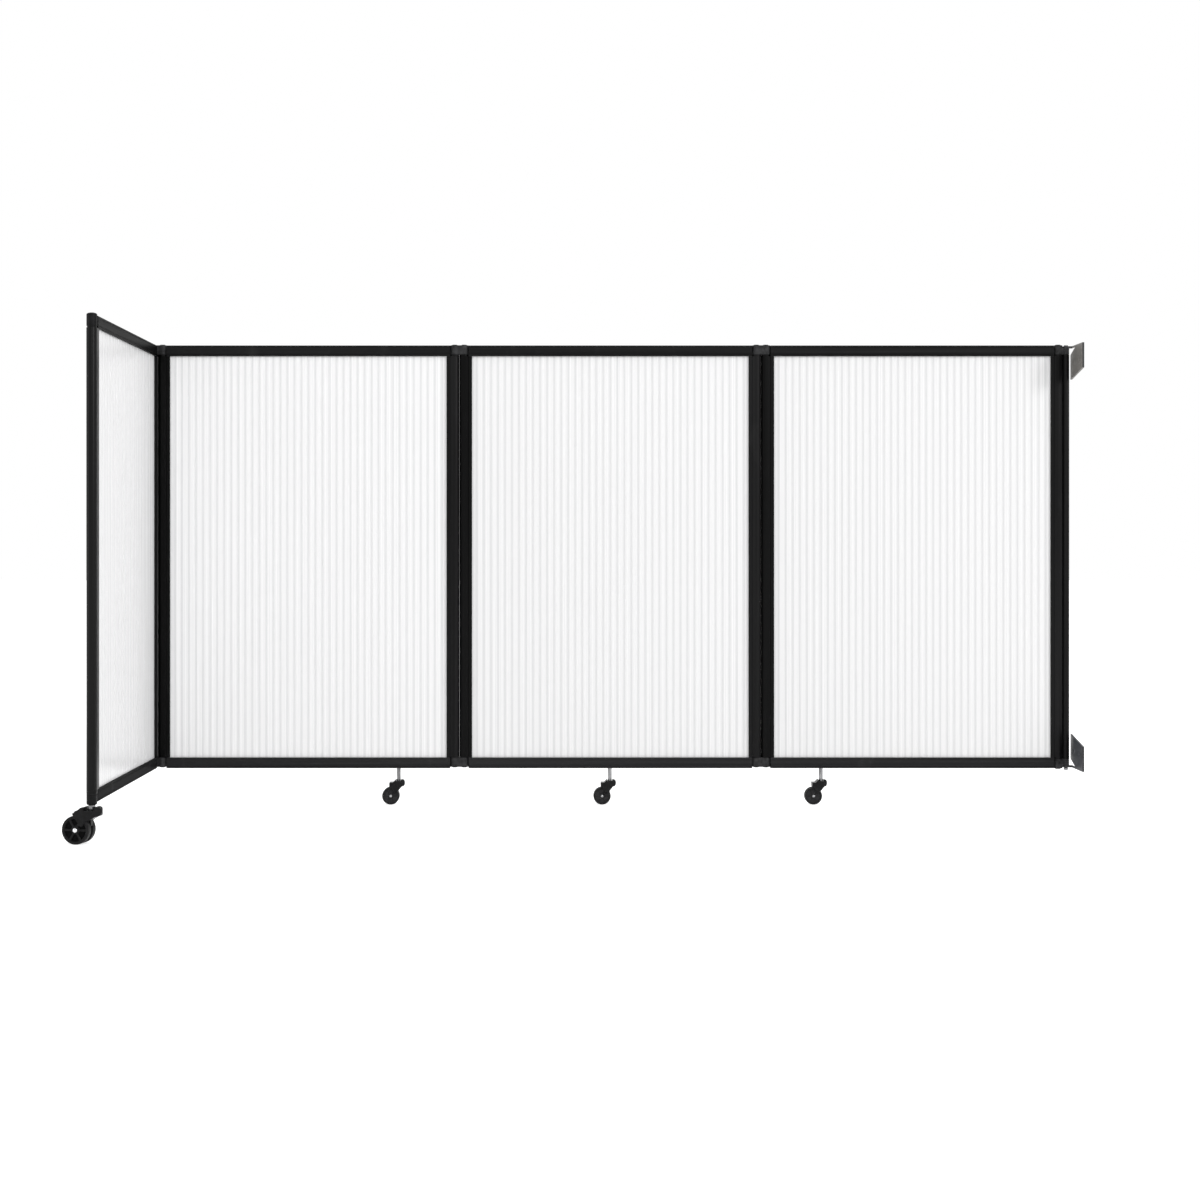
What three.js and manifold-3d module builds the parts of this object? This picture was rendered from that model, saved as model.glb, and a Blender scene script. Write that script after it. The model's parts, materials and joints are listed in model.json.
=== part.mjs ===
// A folding partition of four framed, fluted panels. It is fixed to a wall at its right end,
// hinged at every joint on two parallel pivots, and rolls on one large and three small casters.
// Millimetres. X runs along the partition toward the wall, -Y toward the viewer, Z up from the floor.
import * as THREE from "three";
import { mergeVertices } from "three/addons/utils/BufferGeometryUtils.js";
import Module from "manifold-3d";

const wasm = await Module();
wasm.setup();

// Overall sizes
const panelSpan = 627.6; // between the two post axes of one panel
const frameHeight = 907;
const frameThickness = 20;

// Fits
const seatGap = 0.3; // between pieces that seat on each other
const boreGap = 0.3; // round a pin, stem or axle
const postGap = 0.4; // between two neighbouring round posts
const overrun = 5; // how far a cutter runs past what it cuts

// Frame extrusions
const stileReach = 17; // post axis to the edge of the glazing
const wallThickness = 2;
const lipDepth = 3;
const mouthWidth = 10.6;
const postBore = 4.5; // radius
const webAxis = 8; // post axis to the floor of the stile's channel
const railHeight = 23;
const railChamber = 7.5; // height of the closed chamber of a rail
const railCorner = 1.5;
const grooveWidth = 1.4;
const grooveDepth = 0.6;
const stileGroove = 9.6; // post axis to the groove where the round post meets the flat
const railGroove = 4.4; // edge of a rail to its bead groove
const copeDepth = 0.6; // how deep the end of a rail is hollowed round a hinge block

// Fluted sheet
const sheetThickness = 10;
const sheetSkin = 0.9;
const sheetRib = 0.8;
const flutePitch = 15;
const sheetGrip = 5; // how far the sheet's sides reach into the stiles

// Hinge links
const linkHeight = 20;
const linkRise = 0.6; // above the frame
const lowerLinkInset = 2.6; // frame's underside to the lower link
const waistHalf = 7;
const waistAngle = (65 * Math.PI) / 180;
const pinLength = 28;
const headRadius = 5.6;
const headHeight = 1.4;

// Wall end
const wallPostRadius = 7;
const screwRadius = 3;
const screwReach = 20; // into the wall post
const screwHeadRadius = 4.8;
const screwHeadHeight = 2.2;
const screwFootHeight = 5.5; // head of the lower screw
const earThickness = 4;
const earDrop = 2; // top of the link to the ear
const plateFace = 11.4; // wall post axis to the plate's inner face
const plateThickness = 4;
const plateFront = 100; // wall post axis to the plate's front edge
const plateHeightFront = 53;
const plateHeightBack = 71;
const reliefLength = 38; // front end of the relief under the ear
const reliefHeight = 18;
const fixingHole = 2.75;
const fixingSink = 5.4;
const fixingInset = 24; // from the front edge, and from the back edge
const fixingDrop = 36; // below the ear

// Free end caps
const capRise = 5; // past the frame
const capSkirt = 20; // inside the frame's outline
const capRound = 2.5;
const neckRadius = 8.9;
const neckHeight = 15;
const spigotLength = 20;
const socketDepth = 18;
const lowerCapSkirt = 16;
const lowerCapTaper = 1.8;

// Small casters: left post axis to stem axis over the span, for panels 2, 3 and 4
const smallCasterShares = [0.8083, 0.4984, 0.1885];
const insertLength = 24;
const smallCaster = {
  wheelRadius: 18.5,
  wheelRound: 1.6,
  rimWidth: 3.2,
  dish: 2,
  hubRadius: 4.6,
  hubInset: 0.7,
  axleRadius: 2.1,
  axleHead: 3.1,
  axleDome: 1.5,
  hoodWidth: 27,
  webWidth: 5,
  cheek: 1.8,
  wheelPlay: 0.5,
  wheelClear: 1,
  hoodWall: 1.8,
  trailInset: 1.8, // wheel radius less the trail
  deckRise: 4, // above the wheel
  saddleRise: 9, // above the deck
  headRise: 12.5, // above the deck
  headBack: 6,
  ledgeRise: 6.5, // above the deck
  ledgeLength: 7.2,
  noseDepth: 15,
  noseRound: 6.5,
  noseRadius: 7,
  shoulder: 4, // swivel axis back to the full width
  backReach: 3,
  cheekRise: 5,
  cheekFront: 4.8, // swivel axis back to the front edge
  cheekRound: 3.5,
  bossRadius: 5,
  pivotRadius: 3,
  pivotDepth: 14,
  stemRadius: 4.2,
  collarRadius: 4.2,
  wheelSides: 16,
};

// Large caster at the free end
const largeCaster = {
  wheelRadius: 27,
  wheelRound: 2.4,
  rimWidth: 4.6,
  dish: 3.4,
  hubRadius: 7,
  hubInset: 1.2,
  axleRadius: 3,
  axleHead: 4.6,
  axleDome: 2.4,
  hoodWidth: 42,
  webWidth: 8,
  cheek: 2,
  wheelPlay: 0.6,
  wheelClear: 1.2,
  hoodWall: 2.4,
  trailInset: 1,
  deckRise: 4,
  saddleRise: 5.5,
  headRise: 12,
  headBack: 13.5,
  ledgeRise: 1.5,
  ledgeLength: 3,
  noseDepth: 18,
  noseRound: 7,
  noseRadius: 10.5,
  shoulder: 8,
  backReach: 4,
  cheekRise: 7.5,
  cheekFront: 7.5,
  cheekRound: 5.5,
  bossRadius: 8,
  pivotRadius: 4,
  pivotDepth: 15,
  stemRadius: 5.5,
  collarRadius: 7.3,
  wheelSides: 24,
};
const largeCasterYaw = (12 * Math.PI) / 180;
const hoodGap = 3; // hood to the lower end cap
const noseAngle = Math.PI / 3; // half of the nose's round front
const notchAngle = (36 * Math.PI) / 180; // about the axle, where the nose meets the front of the wheels
const pedalAxisBack = 18; // behind the swivel axis
const pedalAxisRise = 5.4; // above the deck
const pedalBarrel = 3;
const pedalPin = 1.5;
const pedalWidth = 15;
const pedalLength = 15;
const pedalPlate = 2.6;
const pedalDrop = 4.4;
const pedalRidge = 0.8;
const pedalRidges = 3;
const pedalPinSeat = 2.6; // how far the pin runs into each cheek

// Fineness of round faces
const arcSteps = 8;
const pinSides = 10;
const postSides = 20;

// Levels and reaches that follow from the sizes above
for (const size of [smallCaster, largeCaster]) {
  size.trail = size.wheelRadius - size.trailInset;
  size.deck = 2 * size.wheelRadius + size.deckRise;
  size.saddleTop = size.deck + size.saddleRise;
  size.headTop = size.deck + size.headRise;
}
const half = frameThickness / 2;
const inner = half - wallThickness;
const mouth = mouthWidth / 2;
const frameBottom = largeCaster.headTop + hoodGap + capRise;
const frameTop = frameBottom + frameHeight;
const linkTop = frameTop + linkRise;
const linkUnder = linkTop - linkHeight;
const railFloor = 2 * wallThickness + railChamber; // from a rail's outside to the floor of its channel
const lobeRadius = half;
const capRadius = half;
const earRadius = wallPostRadius;
const linkSpacing = 2 * half + postGap;
const wallLinkSpacing = half + wallPostRadius + postGap;
const earTop = linkTop - earDrop;
const railEnd = lobeRadius + seatGap - copeDepth; // post axis to the end of a rail
const pinRadius = postBore - boreGap;
const middle = (frameBottom + frameTop) / 2;

const frameBlack = { color: 0x1c1d1f, roughness: 0.42, metalness: 0.55 };
const blockBlack = { color: 0x202123, roughness: 0.5, metalness: 0.1 };
const steelBright = { color: 0xc9ccd0, roughness: 0.25, metalness: 0.95 };
const sheetPale = { color: 0xf1f3f4, roughness: 0.2, metalness: 0 };
const plateGrey = { color: 0x6f6c69, roughness: 0.45, metalness: 0.6 };
const casterBlack = { color: 0x18191b, roughness: 0.38, metalness: 0.05 };
const wheelBlack = { color: 0x222326, roughness: 0.55, metalness: 0 };

// A solid for joining and cutting, from a closed geometry.
function solid(geometry) {
  const bare = geometry.clone();
  bare.deleteAttribute("normal");
  bare.deleteAttribute("uv");
  const merged = mergeVertices(bare, 1e-4);
  return new wasm.Manifold(
    new wasm.Mesh({
      numProp: 3,
      vertProperties: new Float32Array(merged.attributes.position.array),
      triVerts: new Uint32Array(merged.index.array),
    }),
  );
}

function geometryOf(made) {
  const mesh = made.getMesh();
  const geometry = new THREE.BufferGeometry();
  geometry.setAttribute("position", new THREE.BufferAttribute(new Float32Array(mesh.vertProperties), 3));
  geometry.setIndex(new THREE.BufferAttribute(new Uint32Array(mesh.triVerts), 1));
  const flat = geometry.toNonIndexed();
  flat.computeVertexNormals();
  return flat;
}

function joined(first, ...others) {
  return others.reduce((sum, other) => sum.add(other), first);
}

function cut(first, ...others) {
  return others.reduce((sum, other) => sum.subtract(other), first);
}

// An outline in X and Y, raised from one level to another.
function raised(shape, low, high, steps = arcSteps) {
  const options = { depth: high - low, bevelEnabled: false, curveSegments: steps };
  return solid(new THREE.ExtrudeGeometry(shape, options).translate(0, 0, low));
}

// An outline in Y and Z, drawn along X from one place to another.
function alongX(shape, from, to, steps = arcSteps) {
  const options = { depth: to - from, bevelEnabled: false, curveSegments: steps };
  const turn = new THREE.Matrix4().makeBasis(
    new THREE.Vector3(0, 1, 0),
    new THREE.Vector3(0, 0, 1),
    new THREE.Vector3(1, 0, 0),
  );
  return solid(new THREE.ExtrudeGeometry(shape, options).applyMatrix4(turn).translate(from, 0, 0));
}

// An outline in X and Z, drawn across Y from one place to another.
function acrossY(shape, from, to, steps = arcSteps) {
  const options = { depth: to - from, bevelEnabled: false, curveSegments: steps };
  const turned = new THREE.ExtrudeGeometry(shape, options).rotateX(Math.PI / 2);
  return solid(turned.translate(0, to, 0));
}

// A profile of radius and height, turned about Z.
function turnedSolid(points, sides) {
  const profile = points.map(([radius, height]) => new THREE.Vector2(radius, height));
  return solid(new THREE.LatheGeometry(profile, sides).rotateX(Math.PI / 2));
}

function rod(radius, low, high, sides = pinSides) {
  return turnedSolid([[0, low], [radius, low], [radius, high], [0, high]], sides);
}

// A rod across Y, about an axis at the given X and Z.
function crossRod(radius, from, to, x, z, sides = pinSides) {
  const body = new THREE.CylinderGeometry(radius, radius, to - from, sides);
  return solid(body.translate(x, (from + to) / 2, z));
}

function block(x0, x1, y0, y1, z0, z1) {
  const body = new THREE.BoxGeometry(x1 - x0, y1 - y0, z1 - z0);
  return solid(body.translate((x0 + x1) / 2, (y0 + y1) / 2, (z0 + z1) / 2));
}

// A solid moved along the axes.
function moved(made, x, y = 0, z = 0) {
  return solid(geometryOf(made).translate(x, y, z));
}

// The same piece upside down about the partition's mid height.
function upsideDown(geometry) {
  return geometry.clone().translate(0, 0, -middle).rotateX(Math.PI).translate(0, 0, middle);
}

// The same piece mirrored about the partition's mid height.
function mirroredDown(geometry) {
  const mirrored = geometry.clone().translate(0, 0, -middle).scale(1, 1, -1).translate(0, 0, middle);
  const place = mirrored.attributes.position;
  for (let i = 0; i < place.count; i += 3) {
    const second = new THREE.Vector3().fromBufferAttribute(place, i + 1);
    const third = new THREE.Vector3().fromBufferAttribute(place, i + 2);
    place.setXYZ(i + 1, third.x, third.y, third.z);
    place.setXYZ(i + 2, second.x, second.y, second.z);
  }
  mirrored.computeVertexNormals();
  return mirrored;
}

function group(name, x = 0, y = 0, turn = 0) {
  const made = new THREE.Group();
  made.name = name;
  made.position.set(x, y, 0);
  made.rotation.z = turn;
  return made;
}

function place(parent, name, geometry, look) {
  const mesh = new THREE.Mesh(geometry, new THREE.MeshStandardMaterial(look));
  mesh.name = name;
  parent.add(mesh);
  return mesh;
}

// Half of a grooved face, as steps along the face and into it.
function groove(along) {
  return [
    [along - grooveWidth / 2, 0],
    [along, grooveDepth],
    [along + grooveWidth / 2, 0],
  ];
}

// The flat side of a stile's section, from its post axis to the glazing channel toward +X.
function stileShape() {
  const face = groove(stileGroove).map(([x, depth]) => [x, half - depth]);
  const upper = [
    [0, half],
    ...face,
    [stileReach, half],
    [stileReach, mouth],
    [stileReach - lipDepth, mouth],
    [stileReach - lipDepth, inner],
    [webAxis, inner],
  ];
  const shape = new THREE.Shape();
  upper.forEach(([x, y]) => shape.lineTo(x, -y));
  [...upper].reverse().forEach(([x, y]) => shape.lineTo(x, y));
  return shape;
}

// Where a stile's round post starts and ends, by what holds it: links, wall links or the end caps.
const postEnds = {
  link: [frameBottom + lowerLinkInset + linkHeight + seatGap, linkUnder - seatGap],
  wall: [frameBottom - linkRise + linkHeight + seatGap, linkUnder - seatGap],
  free: [frameBottom + lowerCapSkirt + seatGap, frameTop - capSkirt - neckHeight - seatGap],
};

// A stile about its own post axis. Its flat side is cut back where it would meet what holds the post.
function stileGeometry(holder) {
  const [postBottom, postTop] = postEnds[holder];
  const low = frameBottom + railHeight + seatGap;
  const high = frameTop - railHeight - seatGap;
  const side = cut(
    raised(stileShape(), low, high),
    rod(half + seatGap, Math.min(low, postBottom) - overrun, postBottom, postSides),
    rod(half + seatGap, postTop, Math.max(high, postTop) + overrun, postSides),
  );
  const post = rod(half, postBottom, postTop, postSides);
  const bore = rod(postBore, postBottom - overrun, postTop + overrun);
  return geometryOf(cut(joined(side, post), bore));
}

// The bottom rail's section, from its underside up: closed chamber, web, glazing channel.
function railShape() {
  const faces = [railGroove, railHeight - railGroove].flatMap((level) =>
    groove(level).map(([z, depth]) => [half - depth, z]),
  );
  const side = [
    [half - railCorner, 0],
    [half, railCorner],
    ...faces,
    [half, railHeight],
    [mouth, railHeight],
    [mouth, railHeight - lipDepth],
    [inner, railHeight - lipDepth],
    [inner, railFloor],
  ];
  const shape = new THREE.Shape();
  shape.moveTo(-side[0][0], side[0][1]);
  side.forEach(([y, z]) => shape.lineTo(y, z));
  [...side].reverse().slice(0, -1).forEach(([y, z]) => shape.lineTo(-y, z));
  const chamber = new THREE.Path();
  chamber.moveTo(-inner, wallThickness);
  chamber.lineTo(-inner, wallThickness + railChamber);
  chamber.lineTo(inner, wallThickness + railChamber);
  chamber.lineTo(inner, wallThickness);
  shape.holes.push(chamber);
  return shape;
}

// A rail with both ends hollowed round the hinge blocks, and drilled where a caster's stem goes up.
function railGeometry(casterPlace) {
  const cope = rod(lobeRadius + seatGap, -overrun, railHeight + overrun, postSides);
  const plain = cut(alongX(railShape(), -panelSpan + railEnd, -railEnd), cope, moved(cope, -panelSpan));
  if (casterPlace === undefined) {
    return geometryOf(plain).translate(0, 0, frameBottom);
  }
  const drill = rod(smallCaster.stemRadius + boreGap, -overrun, wallThickness + overrun / 2);
  return geometryOf(cut(plain, moved(drill, -panelSpan + casterPlace))).translate(0, 0, frameBottom);
}

// The twin-wall sheet: two skins and upright ribs, with the flutes between them open at both ends.
function sheetGeometry() {
  const left = -panelSpan + stileReach - sheetGrip;
  const right = -(stileReach - sheetGrip);
  const low = frameBottom + railFloor + seatGap;
  const high = frameTop - railFloor - seatGap;
  const y = sheetThickness / 2;
  const core = y - sheetSkin;
  const count = Math.floor((right - left - sheetRib) / flutePitch);
  const step = (right - left - sheetRib) / count;
  const flutes = Array.from({ length: count }, (_, i) => {
    const from = left + sheetRib + i * step;
    return block(from, from + step - sheetRib, -core, core, low - overrun, high + overrun);
  });
  return geometryOf(cut(block(left, right, -y, y, low, high), ...flutes));
}

// The outline of a link: a lobe on its own axis and one at the given spacing toward -X, with a waist.
function linkShape(spacing, lobe) {
  const shape = new THREE.Shape();
  shape.absarc(0, 0, lobe, waistAngle - Math.PI, Math.PI - waistAngle, false);
  const farStart = [-spacing + lobeRadius * Math.cos(waistAngle), lobeRadius * Math.sin(waistAngle)];
  const nearStart = [-lobe * Math.cos(waistAngle), -lobe * Math.sin(waistAngle)];
  shape.quadraticCurveTo(-spacing / 2, waistHalf, ...farStart);
  shape.absarc(-spacing, 0, lobeRadius, waistAngle, 2 * Math.PI - waistAngle, false);
  shape.quadraticCurveTo(-spacing / 2, -waistHalf, ...nearStart);
  return shape;
}

// A pin from below the block up into a domed head on top of it.
function headedPin(x) {
  const head = turnedSolid(
    [
      [0, linkUnder - pinLength],
      [pinRadius, linkUnder - pinLength],
      [pinRadius, linkTop],
      [headRadius, linkTop],
      [headRadius * Math.SQRT1_2, linkTop + headHeight],
      [0, linkTop + headHeight],
    ],
    pinSides,
  );
  return moved(head, x);
}

function linkGeometry() {
  const body = raised(linkShape(linkSpacing, lobeRadius), linkUnder, linkTop, arcSteps / 2);
  return geometryOf(joined(body, headedPin(0), headedPin(-linkSpacing)));
}

// The wall link's lobe on the post is lower than the other, to make room for the bracket's ear.
function wallLinkGeometry() {
  const lowTop = earTop - earThickness - seatGap;
  const body = raised(linkShape(wallLinkSpacing, wallPostRadius), linkUnder, lowTop, arcSteps / 2);
  const lobe = moved(rod(lobeRadius, linkUnder, linkTop, postSides), -wallLinkSpacing);
  const bore = rod(screwRadius + boreGap, linkUnder - overrun, linkTop);
  return geometryOf(cut(joined(body, lobe, headedPin(-wallLinkSpacing)), bore));
}

function wallPostGeometry() {
  const tube = new THREE.Shape().absarc(0, 0, wallPostRadius, 0, 2 * Math.PI, false);
  tube.holes.push(new THREE.Path().absarc(0, 0, screwRadius + boreGap, 0, 2 * Math.PI, true));
  return geometryOf(raised(tube, 2 * middle - linkUnder + seatGap, linkUnder - seatGap));
}

function postScrewGeometry(headHeight) {
  const seat = earTop + seatGap;
  const edge = screwHeadRadius * Math.SQRT1_2;
  const profile = [
    [0, linkUnder - screwReach],
    [screwRadius, linkUnder - screwReach],
    [screwRadius, seat],
    [screwHeadRadius, seat],
    [screwHeadRadius, seat + headHeight - screwHeadRadius + edge],
    [edge, seat + headHeight],
    [0, seat + headHeight],
  ];
  return geometryOf(turnedSolid(profile, pinSides));
}

// The plate's outline in Y and Z: sloped foot, and a curved relief under the strip that bears the ear.
function plateShape() {
  const strip = earTop - earThickness;
  const shape = new THREE.Shape();
  shape.moveTo(-plateFront, earTop);
  shape.lineTo(-plateFront, earTop - plateHeightFront);
  shape.lineTo(earRadius, earTop - plateHeightBack);
  shape.lineTo(earRadius, earTop - reliefHeight);
  shape.quadraticCurveTo(-reliefLength / 2, earTop - reliefHeight / 2, -reliefLength, strip);
  shape.lineTo(earRadius, strip);
  shape.lineTo(earRadius, earTop);
  return shape;
}

function earShape() {
  const back = plateFace + plateThickness;
  const shape = new THREE.Shape();
  shape.moveTo(back, -earRadius);
  shape.lineTo(back, earRadius);
  shape.absarc(0, 0, earRadius, Math.PI / 2, (3 * Math.PI) / 2, false);
  shape.holes.push(new THREE.Path().absarc(0, 0, screwRadius + boreGap, 0, 2 * Math.PI, true));
  return shape;
}

function bracketGeometry() {
  const back = plateFace + plateThickness;
  const body = joined(
    alongX(plateShape(), plateFace, back),
    raised(earShape(), earTop - earThickness, earTop),
  );
  const sink = fixingSink - fixingHole;
  const profile = [
    [0, -overrun],
    [fixingSink, -overrun],
    [fixingSink, 0],
    [fixingHole, sink],
    [fixingHole, plateThickness + overrun],
    [0, plateThickness + overrun],
  ];
  const holes = [-plateFront + fixingInset, earRadius - fixingInset].map((y) => {
    const drill = geometryOf(turnedSolid(profile, pinSides)).rotateY(Math.PI / 2);
    return solid(drill.translate(plateFace, y, earTop - fixingDrop));
  });
  return geometryOf(cut(body, ...holes));
}

function upperCapGeometry() {
  const skirt = frameTop - capSkirt;
  const neck = skirt - neckHeight;
  const top = frameTop + capRise;
  const profile = [
    [0, neck - spigotLength],
    [pinRadius, neck - spigotLength],
    [pinRadius, neck],
    [neckRadius, neck],
    [neckRadius, skirt],
    [capRadius, skirt],
    [capRadius, top - capRound],
    [capRadius - capRound, top],
    [0, top],
  ];
  return geometryOf(turnedSolid(profile, postSides));
}

// The lower cap holds the large caster's stem in a socket.
function lowerCapGeometry() {
  const low = frameBottom - capRise;
  const skirt = frameBottom + lowerCapSkirt;
  const socket = largeCaster.stemRadius + boreGap;
  const profile = [
    [0, low + socketDepth],
    [socket, low + socketDepth],
    [socket, low],
    [capRadius - lowerCapTaper, low],
    [capRadius, low + lowerCapTaper],
    [capRadius, skirt],
    [pinRadius, skirt],
    [pinRadius, skirt + spigotLength],
    [0, skirt + spigotLength],
  ];
  return geometryOf(turnedSolid(profile, postSides));
}

// A threaded block in the rail's chamber that takes a small caster's stem.
function insertGeometry() {
  const low = frameBottom + wallThickness + seatGap;
  const high = frameBottom + wallThickness + railChamber - seatGap;
  const y = inner - seatGap;
  const body = block(-insertLength / 2, insertLength / 2, -y, y, low, high);
  return geometryOf(cut(body, rod(smallCaster.stemRadius + boreGap, low - overrun, high + overrun)));
}

// A stem: shank up into the frame, and a thinner pivot down into the hood.
function stemGeometry(size, shankTop, collarTop) {
  const seat = size.saddleTop + seatGap;
  const profile = [
    [0, size.saddleTop - size.pivotDepth],
    [size.pivotRadius, size.saddleTop - size.pivotDepth],
    [size.pivotRadius, seat],
    [size.collarRadius, seat],
    [size.collarRadius, collarTop],
    [size.stemRadius, collarTop],
    [size.stemRadius, shankTop],
    [0, shankTop],
  ];
  const plain = size.collarRadius === size.stemRadius;
  return geometryOf(turnedSolid(plain ? [...profile.slice(0, 4), ...profile.slice(6)] : profile, pinSides));
}

// The hood's side outline in X and Z: ledge, sloping back, head with a saddle, round nose, hanging cheek.
function hoodShape(size) {
  const { trail, wheelRadius, deck, headTop, saddleTop, noseDepth, noseRound, cheekRound } = size;
  const back = -trail - size.backReach;
  const nose = size.hoodWidth / 2;
  const saddle = size.collarRadius + size.wheelClear;
  const outer = wheelRadius + size.wheelClear + size.hoodWall;
  const shape = new THREE.Shape();
  shape.moveTo(back, deck - size.hoodWall);
  shape.lineTo(back, deck + size.ledgeRise);
  shape.lineTo(back + size.ledgeLength, deck + size.ledgeRise);
  shape.lineTo(-size.headBack, headTop);
  shape.lineTo(-saddle, headTop);
  shape.lineTo(-saddle, saddleTop);
  shape.lineTo(saddle, saddleTop);
  shape.lineTo(saddle, headTop);
  shape.lineTo(nose - noseRound, headTop);
  shape.quadraticCurveTo(nose, headTop, nose, headTop - noseDepth / 2);
  shape.quadraticCurveTo(nose, headTop - noseDepth, nose - noseRound, headTop - noseDepth);
  shape.lineTo(-trail + outer * Math.cos(notchAngle), wheelRadius + outer * Math.sin(notchAngle));
  const cheekFoot = wheelRadius + size.cheekRise + cheekRound;
  shape.absarc(-size.cheekFront - cheekRound, cheekFoot, cheekRound, 0, -Math.PI, true);
  return shape;
}

// The web between the wheels, down to a boss round the axle.
function webShape(size) {
  const { trail, wheelRadius, bossRadius } = size;
  const shape = new THREE.Shape();
  shape.absarc(-trail, wheelRadius, bossRadius, Math.PI, 2 * Math.PI, false);
  shape.lineTo(0, wheelRadius + size.cheekRise);
  shape.lineTo(0, size.deck - size.hoodWall);
  shape.lineTo(-trail - bossRadius / 2, size.deck - size.hoodWall);
  return shape;
}

// The hood's outline from above: full width over the wheels, and drawn in to a round nose.
function hoodPlan(size) {
  const y = size.hoodWidth / 2;
  const back = -size.trail - size.backReach - overrun;
  const shape = new THREE.Shape();
  shape.absarc(y - size.noseRadius, 0, size.noseRadius, -noseAngle, noseAngle, false);
  shape.lineTo(-size.shoulder, y);
  shape.lineTo(back, y);
  shape.lineTo(back, -y);
  shape.lineTo(-size.shoulder, -y);
  return shape;
}

function hoodGeometry(size, slots) {
  const { trail, wheelRadius, webWidth } = size;
  const y = size.hoodWidth / 2;
  const plan = raised(hoodPlan(size), 0, size.headTop + overrun, arcSteps / 2);
  const outer = acrossY(hoodShape(size), -y, y, arcSteps / 2).intersect(plan);
  const room = wheelRadius + size.wheelClear;
  const cavities = [
    [webWidth / 2, y - size.cheek],
    [size.cheek - y, -webWidth / 2],
  ].map(([from, to]) => crossRod(room, from, to, -trail, wheelRadius, size.wheelSides));
  const web = acrossY(webShape(size), -webWidth / 2, webWidth / 2, arcSteps / 2);
  const pivotLow = size.saddleTop - size.pivotDepth - boreGap;
  return geometryOf(
    cut(
      joined(cut(outer, ...cavities), web),
      ...slots,
      rod(size.pivotRadius + boreGap, pivotLow, size.headTop + overrun),
      crossRod(size.axleRadius + boreGap, -y, y, -trail, wheelRadius),
    ),
  );
}

// A wheel about its axle across Y, dished on its outer face toward +Y.
function wheelGeometry(size) {
  const near = size.webWidth / 2 + size.wheelPlay;
  const far = size.hoodWidth / 2 - size.cheek - size.wheelPlay;
  const { wheelRadius, wheelRound, rimWidth, dish, hubRadius } = size;
  const bore = size.axleRadius + boreGap;
  const profile = [
    [bore, near],
    [wheelRadius, near],
    [wheelRadius, far - wheelRound],
    [wheelRadius - wheelRound, far],
    [wheelRadius - rimWidth, far],
    [wheelRadius - rimWidth - dish / 2, far - dish],
    [hubRadius + dish / 2, far - dish],
    [hubRadius, far - size.hubInset],
    [bore, far - size.hubInset],
    [bore, near],
  ];
  const about = geometryOf(turnedSolid(profile, size.wheelSides)).rotateX(-Math.PI / 2);
  return about.translate(-size.trail, 0, size.wheelRadius);
}

function axleGeometry(size) {
  const face = size.hoodWidth / 2 - size.cheek - size.wheelPlay - size.hubInset + seatGap;
  const end = face + size.axleDome;
  const profile = [
    [0, -end],
    [size.axleHead * Math.SQRT1_2, -end],
    [size.axleHead, -face],
    [size.axleRadius, -face],
    [size.axleRadius, face],
    [size.axleHead, face],
    [size.axleHead * Math.SQRT1_2, end],
    [0, end],
  ];
  const about = geometryOf(turnedSolid(profile, pinSides)).rotateX(-Math.PI / 2);
  return about.translate(-size.trail, 0, size.wheelRadius);
}

// What is cut from the large hood for its brake pedal: a slot down to the deck, and a hole for the pin.
function pedalSlots(size) {
  const reach = pedalWidth / 2 + seatGap;
  const pinReach = reach + pedalPinSeat + seatGap;
  const back = -size.trail - size.backReach - overrun;
  return [
    block(back, -size.headBack, -reach, reach, size.deck, size.headTop + overrun),
    crossRod(pedalPin + boreGap, -pinReach, pinReach, -pedalAxisBack, size.deck + pedalAxisRise),
  ];
}

// The pedal's side outline: barrel, sloping plate and grip ridges.
function pedalGeometry(size) {
  const axis = size.deck + pedalAxisRise;
  const slope = pedalDrop / pedalLength;
  const shape = new THREE.Shape();
  const ridgeStep = pedalLength / (pedalRidges + 2);
  const level = (along) => axis + pedalPlate / 2 - along * slope;
  shape.moveTo(-pedalAxisBack, level(0));
  for (let i = 1; i <= pedalRidges; i += 1) {
    const along = (i + 1) * ridgeStep;
    shape.lineTo(-pedalAxisBack - along + pedalRidge, level(along - pedalRidge));
    shape.lineTo(-pedalAxisBack - along, level(along) + pedalRidge);
    shape.lineTo(-pedalAxisBack - along - pedalRidge, level(along + pedalRidge));
  }
  shape.lineTo(-pedalAxisBack - pedalLength, level(pedalLength));
  shape.lineTo(-pedalAxisBack - pedalLength, level(pedalLength) - pedalPlate);
  shape.lineTo(-pedalAxisBack, level(0) - pedalPlate);
  const y = pedalWidth / 2;
  const pinEnd = y + seatGap + pedalPinSeat;
  return geometryOf(
    joined(
      acrossY(shape, -y, y),
      crossRod(pedalBarrel, -y, y, -pedalAxisBack, axis),
      crossRod(pedalPin, -pinEnd, pinEnd, -pedalAxisBack, axis),
    ),
  );
}

// A caster on its swivel axis, trailing toward -X. The stem stays with the panel.
function addCaster(panel, name, x, turn, size, slots) {
  const swivel = group(`${name}_swivel`, x, 0, turn);
  panel.add(swivel);
  place(swivel, `${name}_hood`, hoodGeometry(size, slots), casterBlack);
  place(swivel, `${name}_axle`, axleGeometry(size), steelBright);
  const right = wheelGeometry(size);
  const left = right.clone().translate(size.trail, 0, 0).rotateZ(Math.PI).translate(-size.trail, 0, 0);
  place(swivel, `${name}_wheel_left`, left, wheelBlack);
  place(swivel, `${name}_wheel_right`, right, wheelBlack);
  return swivel;
}

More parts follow.
